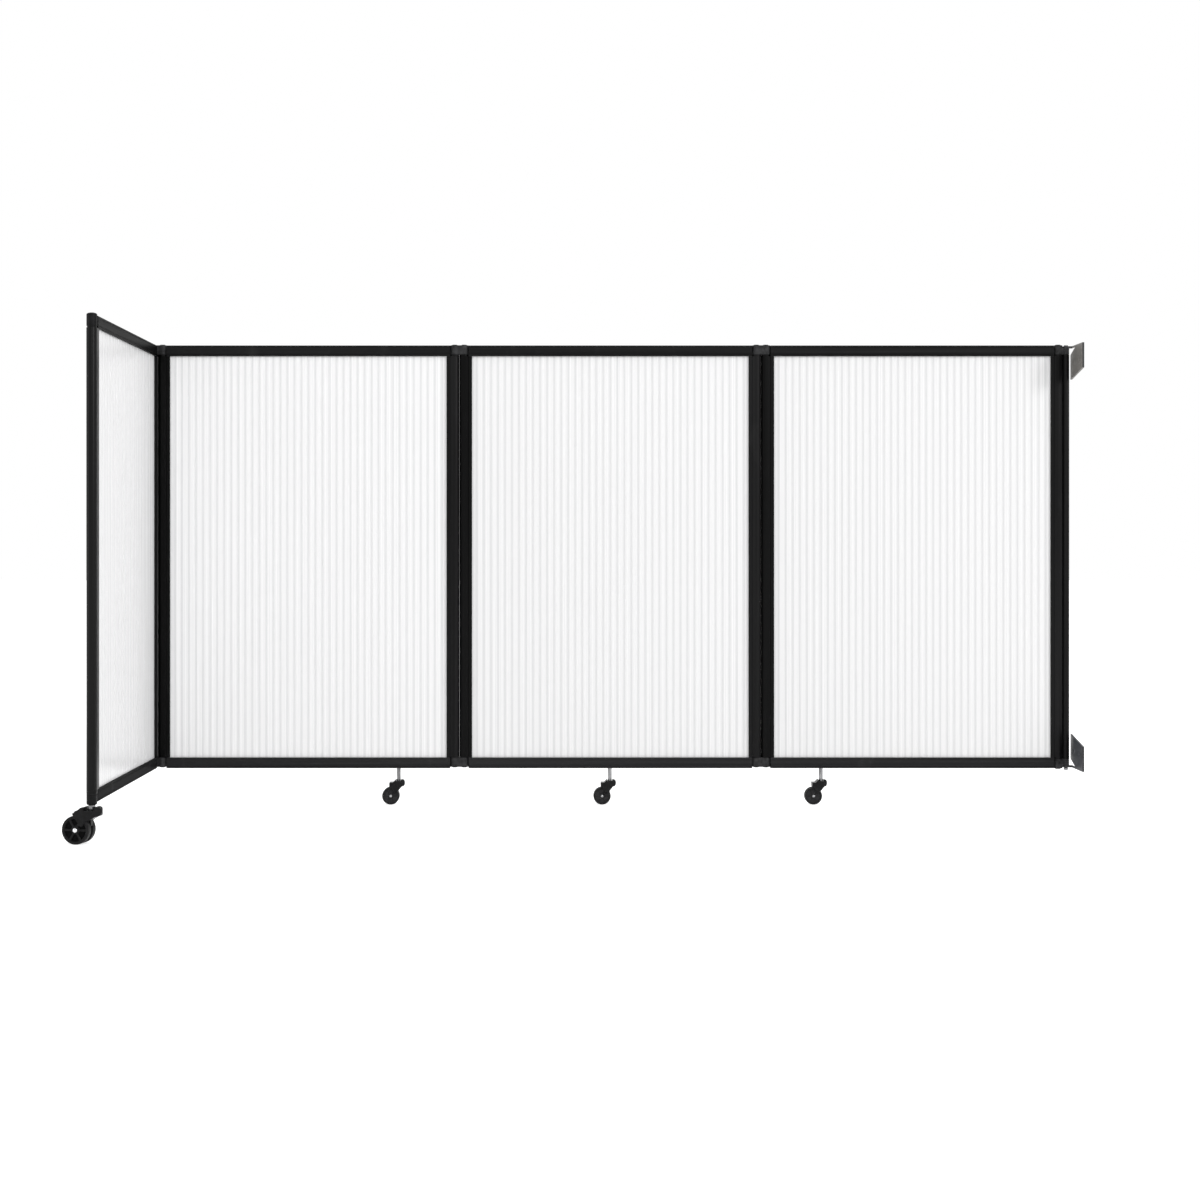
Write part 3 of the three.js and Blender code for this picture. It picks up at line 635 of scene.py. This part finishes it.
def rail_mesh(span, low, high, upside):
    """A rail with both ends hollowed round the hinge blocks."""
    flat = prism(rail_outline(), -span + RAIL_END, -RAIL_END)
    cope = rod(COPE, -OVERRUN, RAIL_HEIGHT + OVERRUN, FINE_SIDES)
    made = boolean(moved(flat, ALONG), "DIFFERENCE", cope, moved(cope, shift(-span)))
    if upside:
        return moved(made, UPSIDE_DOWN, shift(z=high))
    return moved(made, shift(z=low))


def make_panel(number):
    place = panel_place(number)
    right, left = panel_axes(number)
    span = (right - left).length
    for side, offset, angle in (("left", -span, 0), ("right", 0, 180)):
        node = f"panel_{number}_{side}_stile"
        stile = moved(stile_mesh(number, side), turn(angle, "Z"), shift(offset), place)
        # The left stiles take the darker painted shade and the right stiles the lighter painted light.
        stand_for(stile, node, free_stile if (number, side) == (1, "left") else stile_lit_and_shaded[side])
    finishes = turned_rail if number == 1 else rail_lit_and_shaded
    for edge, upside in (("bottom", False), ("top", True)):
        node = f"panel_{number}_{edge}_rail"
        low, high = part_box(node)
        rail = rail_mesh(span, low.z, high.z, upside)
        stand_for(moved(rail, place), node, finishes[edge])


# Hinge links and wall end

def link_outline(spacing, lobe):
    far = arc(-spacing, 0, LOBE, WAIST_ANGLE, 2 * math.pi - WAIST_ANGLE, 40)
    near = arc(0, 0, lobe, WAIST_ANGLE - math.pi, math.pi - WAIST_ANGLE, 40)
    return [
        *near,
        *bend(near[-1], (-spacing / 2, WAIST), far[0])[:-1],
        *far,
        *bend(far[-1], (-spacing / 2, -WAIST), near[0])[:-1],
    ]


def socket_head(radius, seat, rise):
    """A round head with a six-sided socket."""
    hexagon = circle(SOCKET_RADIUS, 6)
    ring = prism([circle(radius, SMALL_SIDES), hexagon], seat, seat + rise, min(rise, radius) * HEAD_ROUND)
    return combined(ring, rod(SOCKET_RADIUS * SOCKET_REACH, seat - rise / 2, seat + rise * SOCKET_FLOOR))


def headed_pin(x, under, top):
    pin = rod(PIN_RADIUS, under - PIN_LENGTH, top)
    return moved(combined(pin, socket_head(HEAD_RADIUS, top, HEAD_RISE)), shift(x))


def link_mesh(spacing, top):
    under = top - LINK_HEIGHT
    block = prism([link_outline(spacing, LOBE)], under, top, BLOCK_EDGE)
    return combined(block, headed_pin(0, under, top), headed_pin(-spacing, under, top))


def wall_link_mesh(spacing, top):
    under = top - LINK_HEIGHT
    low_top = top - EAR_DROP - EAR - GAP
    bore = circle(SCREW_RADIUS + GAP, BORE_SIDES)
    body = prism([link_outline(spacing, WALL_POST), bore], under, low_top, BLOCK_EDGE)
    lobe = prism([circle(LOBE, POST_SIDES)], under, top, BLOCK_EDGE)
    return combined(body, moved(lobe, shift(-spacing)), headed_pin(-spacing, under, top))


def link_axes(link):
    near = Vector(joints["wall_pivot" if link == "link_wall" else f"{link}_pivot"]["pos_m"])
    panel = {"link_wall": 4, "link_34": 3, "link_23": 2, "link_12": 1}[link]
    far = Vector(joints[f"panel_{panel}_pivot"]["pos_m"])
    near.z = far.z = 0
    return near, far


def make_link(link):
    near, far = link_axes(link)
    spacing = (near - far).length
    make = wall_link_mesh if link == "link_wall" else link_mesh
    upper, lower = f"{link}_upper", f"{link}_lower"
    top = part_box(upper)[1].z - HEAD_RISE
    stand_for(moved(make(spacing, top), shift(*near)), upper, block_finish)
    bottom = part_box(lower)[0].z + HEAD_RISE
    upset = moved(make(spacing, 0), UPSIDE_DOWN, shift(z=bottom), shift(*near))
    stand_for(upset, lower, block_finish)


def bracket_mesh():
    """The upper bracket, with the post axis at the origin and the top of its ear at height zero.

    Its ear and its front edge take the second material.
    """
    back = PLATE_FACE + PLATE
    start = (WALL_POST, -RELIEF_HEIGHT)
    end = (-RELIEF_LENGTH, -EAR)
    outline = [
        (-PLATE_FRONT, 0),
        (-PLATE_FRONT, -PLATE_HEIGHT_FRONT),
        (WALL_POST, -PLATE_HEIGHT_BACK),
        start,
        *bend(start, (-RELIEF_LENGTH / 2, -RELIEF_HEIGHT / 2), end, 16),
        (WALL_POST, -EAR),
        (WALL_POST, 0),
    ]
    holes = [(y, -FIXING_DROP) for y in (-PLATE_FRONT + FIXING_INSET, WALL_POST - FIXING_INSET)]
    rings = [circle(FIXING_SINK, SMALL_SIDES, *hole) for hole in holes]
    plate = moved(prism([outline, *rings], PLATE_FACE, back, EDGE), ALONG)
    for face in plate.polygons:
        face.material_index = int(face.normal.y < -FACING)
    sink = FIXING_SINK - FIXING_HOLE
    countersink = lathe([(FIXING_SINK, 0), (FIXING_HOLE, sink), (FIXING_HOLE, PLATE), (FIXING_SINK, PLATE)])
    seats = [moved(countersink, turn(90, "Y"), shift(PLATE_FACE, *hole)) for hole in holes]
    join = PLATE_FACE + 2 * EDGE
    nose = arc(0, 0, WALL_POST, math.pi / 2, 3 * math.pi / 2, 32)
    ear_outline = [(join, -WALL_POST), (join, WALL_POST), *nose]
    ear = prism([ear_outline, circle(SCREW_RADIUS + GAP, BORE_SIDES)], -EAR, 0, EDGE)
    for face in ear.polygons:
        face.material_index = 1
    return combined(plate, *seats, ear)


def make_wall_end():
    axis, _ = link_axes("link_wall")
    place = shift(*axis)
    low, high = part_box("wall_post")
    tube = [circle(WALL_TUBE), circle(SCREW_RADIUS + GAP, BORE_SIDES)]
    stand_for(moved(prism(tube, low.z, high.z, EDGE), place), "wall_post", post_finish)
    bracket = bracket_mesh()
    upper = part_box("wall_bracket_upper")[1].z
    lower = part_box("wall_bracket_lower")[0].z
    # The upper bracket takes the lighter painted-light coat, the lower one the darker painted-shade coat.
    stand_for(moved(bracket, shift(z=upper), place), "wall_bracket_upper", plate_lit_upper, plate_edge)
    upset = moved(bracket, UPSIDE_DOWN, shift(z=lower), place)
    stand_for(upset, "wall_bracket_lower", plate_shaded_lower, plate_edge)
    rises = (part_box("post_screw_upper")[1].z - upper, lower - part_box("post_screw_lower")[0].z)
    rows = (("post_screw_upper", upper + GAP, Matrix()), ("post_screw_lower", lower - GAP, UPSIDE_DOWN))
    for rise, (node, seat, flip) in zip(rises, rows):
        screw = combined(rod(SCREW_RADIUS, -SCREW_REACH, 0), socket_head(SCREW_HEAD, 0, rise - GAP))
        stand_for(moved(screw, flip, shift(z=seat), place), node, steel)


def make_caps():
    _, left = panel_axes(1)
    place = shift(*left)
    frame_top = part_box("panel_1_top_rail")[1].z
    frame_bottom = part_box("panel_1_bottom_rail")[0].z
    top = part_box("free_end_cap_upper")[1].z
    turns = (math.pi / 2 * i / 12 for i in range(12))
    dome = [(LOBE * math.cos(t), top - CAP_ROUND * (1 - math.sin(t))) for t in turns]
    skirt = frame_top - CAP_SKIRT
    neck = skirt - CAP_NECK_HEIGHT
    upper = lathe([
        (0, neck - SPIGOT), (PIN_RADIUS, neck - SPIGOT), (PIN_RADIUS, neck), (CAP_NECK, neck),
        (CAP_NECK, skirt), (LOBE, skirt), *dome, (0, top),
    ])
    stand_for(moved(upper, place), "free_end_cap_upper", cap_finish)
    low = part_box("free_end_cap_lower")[0].z
    high = frame_bottom + LOWER_SKIRT
    socket = LARGE["stem"] + GAP
    lower = lathe([
        (0, low + SOCKET_DEPTH), (socket, low + SOCKET_DEPTH), (socket, low),
        *bend((socket, low), (LOBE, low), (LOBE, low + 2 * LOWER_TAPER)),
        (LOBE, high), (PIN_RADIUS, high), (PIN_RADIUS, high + SPIGOT), (0, high + SPIGOT),
    ])
    stand_for(moved(lower, place), "free_end_cap_lower", cap_finish)


# Casters

def hood_side(size):
    """The hood's side outline in X and Z, about its swivel axis, trailing toward -X."""
    back = -size["trail"] - size["back_reach"]
    nose = size["width"] / 2
    saddle = size["collar"] + size["clear"]
    outer = size["radius"] + size["clear"] + size["wall"]
    top = size["head_top"]
    depth = size["nose_depth"]
    ledge = size["deck"] + size["ledge_rise"]
    tip = (nose, top - depth / 2)
    round_end = size["cheek_round"]
    foot = size["radius"] + size["cheek_rise"] + round_end
    return [
        (back, size["deck"] - size["wall"]),
        (back, ledge),
        (back + size["ledge"], ledge),
        (-size["head_back"], top),
        (-saddle, top),
        (-saddle, size["saddle_top"]),
        (saddle, size["saddle_top"]),
        (saddle, top),
        (nose - size["nose_round"], top),
        *bend((nose - size["nose_round"], top), (nose, top), tip),
        *bend(tip, (nose, top - depth), (nose - size["nose_round"], top - depth)),
        (-size["trail"] + outer * math.cos(NOTCH_ANGLE), size["radius"] + outer * math.sin(NOTCH_ANGLE)),
        *arc(-size["cheek_front"] - round_end, foot, round_end, 0, -math.pi, 16),
    ]


def hood_plan(size):
    half = size["width"] / 2
    back = -size["trail"] - size["back_reach"] - OVERRUN
    front = arc(half - size["nose_radius"], 0, size["nose_radius"], -NOSE_ANGLE, NOSE_ANGLE, 20)
    return [*front, (-size["shoulder"], half), (back, half), (back, -half), (-size["shoulder"], -half)]


def web_side(size):
    boss = arc(-size["trail"], size["radius"], size["boss"], math.pi, 2 * math.pi, 20)
    under_deck = size["deck"] - size["wall"]
    return [
        *boss,
        (0, size["radius"] + size["cheek_rise"]),
        (0, under_deck),
        (-size["trail"] - size["boss"] / 2, under_deck),
    ]


def on_axle(size):
    """Takes a round about Z onto the wheels' axis."""
    return turn(-90, "X"), shift(-size["trail"], 0, size["radius"])


def cross_rod(size, radius, start, end):
    return moved(rod(radius, start, end, ROUND_SIDES), *on_axle(size))


def hood_mesh(size, slots):
    half = size["width"] / 2
    side = moved(prism([hood_side(size)], -half - OVERRUN, half + OVERRUN), ACROSS)
    shell = boolean(side, "INTERSECT", prism([hood_plan(size)], 0, size["head_top"] + OVERRUN))
    room = size["radius"] + size["clear"]
    shell = boolean(
        shell,
        "DIFFERENCE",
        cross_rod(size, room, size["web"] / 2, half - size["cheek"]),
        cross_rod(size, room, size["cheek"] - half, -size["web"] / 2),
    )
    web = moved(prism([web_side(size)], -size["web"] / 2, size["web"] / 2), ACROSS)
    shell = boolean(shell, "UNION", web)
    pivot_low = size["saddle_top"] - size["pivot_depth"] - GAP
    shell = boolean(
        shell,
        "DIFFERENCE",
        rod(size["pivot"] + GAP, pivot_low, size["head_top"] + OVERRUN),
        cross_rod(size, size["axle"] + GAP, -half, half),
        *slots,
    )
    return evaluated(
        shell,
        ("REMESH", dict(mode="VOXEL", voxel_size=size["voxel"])),
        ("SMOOTH", HOOD_SMOOTHING),
        ("DECIMATE", dict(ratio=HOOD_SHARE)),
    )


def pedal_slots(size):
    reach = PEDAL_WIDTH / 2 + GAP
    back = -size["trail"] - size["back_reach"] - OVERRUN
    opening = box_outline(back, -size["head_back"], -reach, reach)
    slot = prism([opening], size["deck"], size["head_top"] + OVERRUN)
    pin_reach = reach + PEDAL_SEAT + GAP
    hole = rod(PEDAL_PIN + GAP, -pin_reach, pin_reach)
    return [slot, moved(hole, turn(-90, "X"), shift(-PEDAL_BACK, 0, size["deck"] + PEDAL_RISE))]


def pedal_mesh(size):
    axis = size["deck"] + PEDAL_RISE
    slope = PEDAL_DROP / PEDAL_LENGTH
    step = PEDAL_LENGTH / (PEDAL_RIDGES + 2)

    def level(along):
        return axis + PEDAL_PLATE / 2 - along * slope

    outline = [(-PEDAL_BACK, level(0))]
    for i in range(1, PEDAL_RIDGES + 1):
        along = (i + 1) * step
        outline.append((-PEDAL_BACK - along + PEDAL_RIDGE, level(along - PEDAL_RIDGE)))
        outline.append((-PEDAL_BACK - along, level(along) + PEDAL_RIDGE))
        outline.append((-PEDAL_BACK - along - PEDAL_RIDGE, level(along + PEDAL_RIDGE)))
    outline.append((-PEDAL_BACK - PEDAL_LENGTH, level(PEDAL_LENGTH)))
    outline.append((-PEDAL_BACK - PEDAL_LENGTH, level(PEDAL_LENGTH) - PEDAL_PLATE))
    outline.append((-PEDAL_BACK, level(0) - PEDAL_PLATE))
    half = PEDAL_WIDTH / 2
    plate = moved(prism([outline], -half, half), ACROSS)
    stand = shift(-PEDAL_BACK, 0, axis)
    barrel = moved(rod(PEDAL_BARREL, -half, half), turn(-90, "X"), stand)
    pin_end = half + GAP + PEDAL_SEAT
    pin = moved(rod(PEDAL_PIN, -pin_end, pin_end), turn(-90, "X"), stand)
    return rounded(boolean(plate, "UNION", barrel, pin), EDGE)


def wheel_mesh(size):
    """A wheel about Z, from its inner face up to its dished and spoked outer face."""
    near = size["web"] / 2 + size["play"]
    far = size["width"] / 2 - size["cheek"] - size["play"]
    radius, soft, rim, dish, hub = (size[key] for key in ("radius", "round", "rim", "dish", "hub"))
    bore = size["axle"] + GAP
    lip = size["hub_inset"] / 2
    profile = [
        (bore, near),
        *arc(radius - soft / 2, near + soft / 2, soft / 2, -math.pi / 2, 0, 5),
        *arc(radius - soft, far - soft, soft, 0, math.pi / 2, 8),
        (radius - rim, far),
        (radius - rim - lip, far - lip),
        (radius - rim - dish / 2, far - dish),
        (hub + dish / 2, far - dish),
        (hub + lip, far - size["hub_inset"] - lip),
        (hub, far - size["hub_inset"]),
        (bore, far - size["hub_inset"]),
    ]
    body = lathe(profile, FINE_SIDES)
    half_spoke = size["spoke"] / 2
    flare = half_spoke * SPOKE_FLARE
    start = hub - lip
    end = radius - rim + lip
    outline = [(start, -half_spoke), (end, -flare), (end, flare), (start, half_spoke)]
    spoke = prism([outline], far - dish - size["play"], far - size["hub_inset"] * SPOKE_INSET, EDGE)
    turns = (turn(360 * i / size["spokes"], "Z") for i in range(size["spokes"]))
    made = boolean(body, "UNION", *(moved(spoke, angle) for angle in turns))
    # The dish floor between the spokes takes the second material, which on the large wheels is a darker
    # painted shade.
    for face in made.polygons:
        reach = face.center.xy.length
        face.material_index = int(hub < reach < radius - rim and abs(face.center.z - far + dish) < EDGE)
    return made


def axle_mesh(size):
    face = size["width"] / 2 - size["cheek"] - size["play"] - size["hub_inset"] + GAP
    end = face + size["axle_dome"]
    head, shaft = size["axle_head"], size["axle"]
    turns = (math.pi / 2 * i / 8 for i in range(8))
    dome = [(head * math.cos(t), face + size["axle_dome"] * math.sin(t)) for t in turns]
    upper = [(shaft, face), *dome, (0, end)]
    lower = [(radius, -height) for radius, height in reversed(upper)]
    return lathe([*lower, *upper])


def stem_mesh(size, node):
    """A stem about Z: shank and pivot, with a six-sided collar on the large one."""
    low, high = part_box(node)
    seat = size["saddle_top"] + GAP
    if size is SMALL:
        shank = lathe([(0, seat), (size["stem"], seat), (size["stem"], high.z), (0, high.z)])
        return combined(shank, rod(size["pivot"], low.z, seat))
    collar_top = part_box("free_end_cap_lower")[0].z - GAP
    collar = prism([circle(size["collar"], 6)], seat, collar_top, 2 * EDGE)
    return combined(collar, rod(size["stem"], collar_top, high.z), rod(size["pivot"], low.z, seat))


def caster_place(number):
    swivel = joints[f"caster_{number}_turn"]["pos_m"]
    across = joints[f"caster_{number}_roll_right"]["axis"]
    return shift(swivel[0], swivel[1]) @ Matrix.Rotation(math.atan2(-across[0], across[1]), 4, "Z")


def make_casters():
    kinds = (
        (SMALL, (2, 3, 4), dull, (small_wheel_finish, small_recess_finish)),
        (LARGE, (1,), bright, (wheel_finish, large_dish_painted_shade)),
    )
    for size, numbers, axle_finish, wheel_finishes in kinds:
        first = numbers[0]
        swivel = Vector(joints[f"caster_{first}_turn"]["pos_m"])
        wheel = Vector(joints[f"caster_{first}_roll_right"]["pos_m"])
        size["trail"] = (swivel - wheel).xy.length
        hood = hood_mesh(size, pedal_slots(size) if size is LARGE else [])
        axle = moved(axle_mesh(size), *on_axle(size))
        right = moved(wheel_mesh(size), *on_axle(size))
        left = moved(right, shift(size["trail"]), turn(180, "Z"), shift(-size["trail"]))
        for number in numbers:
            place = caster_place(number)
            name = f"caster_{number}"
            stand_for(moved(hood, place), f"{name}_hood", hood_finish)
            stand_for(moved(axle, place), f"{name}_axle", axle_finish)
            stand_for(moved(right, place), f"{name}_wheel_right", *wheel_finishes)
            stand_for(moved(left, place), f"{name}_wheel_left", *wheel_finishes)
            stem = stem_mesh(size, f"{name}_stem")
            stand_for(moved(stem, place), f"{name}_stem", steel)
    stand_for(moved(pedal_mesh(LARGE), caster_place(1)), "caster_1_brake_pedal", pedal_finish)


# Studio

WORLD_LIGHT = 0.88
FLOOR_TONE = 0.80
FLOOR_ROUGHNESS = 0.9
FLOOR_LIFT = 0.62
FLOOR_CLEAR = 1.5  # from here out the floor turns to plain white
FLOOR_WHITE = 3.2
FLOOR_SIZE = 60
IMAGE_PIXELS = 1200
FOCAL_PIXELS = 2185.6
PRINCIPAL = (551.5, 545.0)
CAMERA_PLACE = (-0.1046, -4.3780, 0.5569)
MIDDLE = (0, 0.1, 0.5)
FREE_END = (-1.0, -0.3, 0.5)
LAMPS = (  # name, place, target, size and power
    ("key", (1.4, -9.1, 5.9), MIDDLE, (1.8, 1.8), 128),
    ("fill", (6.4, -6.1, 3.9), MIDDLE, (1.8, 1.8), 200),
    ("top", (0, 0.7, 6.7), MIDDLE, (4.8, 2.4), 88),
    ("rim", (-3.6, -1.4, 1.0), FREE_END, (0.3, 1.6), 10),
)


def seen_directly(n):
    """A factor that is 1 for camera, glossy and transmitted rays."""
    path = n.new("ShaderNodeLightPath")
    seen = n.maths("MAXIMUM", path.outputs["Is Camera Ray"], path.outputs["Is Glossy Ray"])
    return n.maths("MAXIMUM", seen, path.outputs["Is Transmission Ray"])


class WorldNodes(Nodes):
    """The world's node tree, with the same short names."""

    def __init__(self, world):
        world.use_nodes = True
        self.tree = world.node_tree


def make_world():
    world = bpy.data.worlds.new("studio")
    bpy.context.scene.world = world
    n = WorldNodes(world)
    background = n.tree.nodes["Background"]
    background.inputs["Color"].default_value = (1, 1, 1, 1)
    n.link(n.ranged(seen_directly(n), 0, 1, WORLD_LIGHT, 1), background.inputs["Strength"])


def make_floor():
    """A pale floor that keeps the shadow near the object and is plain white further out."""
    bpy.ops.mesh.primitive_plane_add(size=FLOOR_SIZE)
    floor = bpy.context.object
    floor.name = "studio_floor"
    n = Nodes("studio_floor", specular=0.0)
    split = n.new("ShaderNodeVectorMath")
    split.operation = "LENGTH"
    n.link(n.place, split.inputs[0])
    far = n.ranged(split.outputs["Value"], FLOOR_CLEAR, FLOOR_WHITE, 0, 1, smooth=True)
    n.shader.inputs["Base Color"].default_value = (*grey(FLOOR_TONE), 1)
    n.shader.inputs["Roughness"].default_value = FLOOR_ROUGHNESS
    n.shader.inputs["Emission Color"].default_value = (1, 1, 1, 1)
    lift = n.maths("MULTIPLY", n.ranged(far, 0, 1, FLOOR_LIFT, 1), seen_directly(n))
    n.link(lift, n.shader.inputs["Emission Strength"])
    floor.data.materials.append(n.material)


def area_light(name, place, target, size, power):
    data = bpy.data.lights.new(name, "AREA")
    data.shape = "RECTANGLE"
    data.size, data.size_y = size
    data.energy = power
    lamp = bpy.data.objects.new(name, data)
    bpy.context.scene.collection.objects.link(lamp)
    lamp.location = place
    direction = Vector(target) - Vector(place)
    lamp.rotation_euler = direction.to_track_quat("-Z", "Y").to_euler()


def make_camera():
    data = bpy.data.cameras.new("camera")
    data.lens = FOCAL_PIXELS / IMAGE_PIXELS * data.sensor_width
    data.shift_x = (IMAGE_PIXELS / 2 - PRINCIPAL[0]) / IMAGE_PIXELS
    data.shift_y = (PRINCIPAL[1] - IMAGE_PIXELS / 2) / IMAGE_PIXELS
    camera = bpy.data.objects.new("camera", data)
    bpy.context.scene.collection.objects.link(camera)
    camera.location = CAMERA_PLACE
    camera.rotation_euler = (math.radians(90), 0, 0)
    bpy.context.scene.camera = camera


def dress(node, material):
    for slot in nodes[node].material_slots:
        slot.link = "OBJECT"
        slot.material = material


for number in PANELS:
    make_panel(number)
    sheet = f"panel_{number}_fluted_sheet"
    dress(sheet, fluted(f"fluted_sheet_{number}", sheet, SHEET_PAINTED_LIGHT[number]))
for number in PANELS[1:]:
    dress(f"caster_{number}_insert", steel)
for link in LINKS:
    make_link(link)
make_wall_end()
make_caps()
make_casters()

make_world()
make_floor()
for lamp in LAMPS:
    area_light(*lamp)
make_camera()
bpy.context.scene.view_settings.view_transform = "Standard"
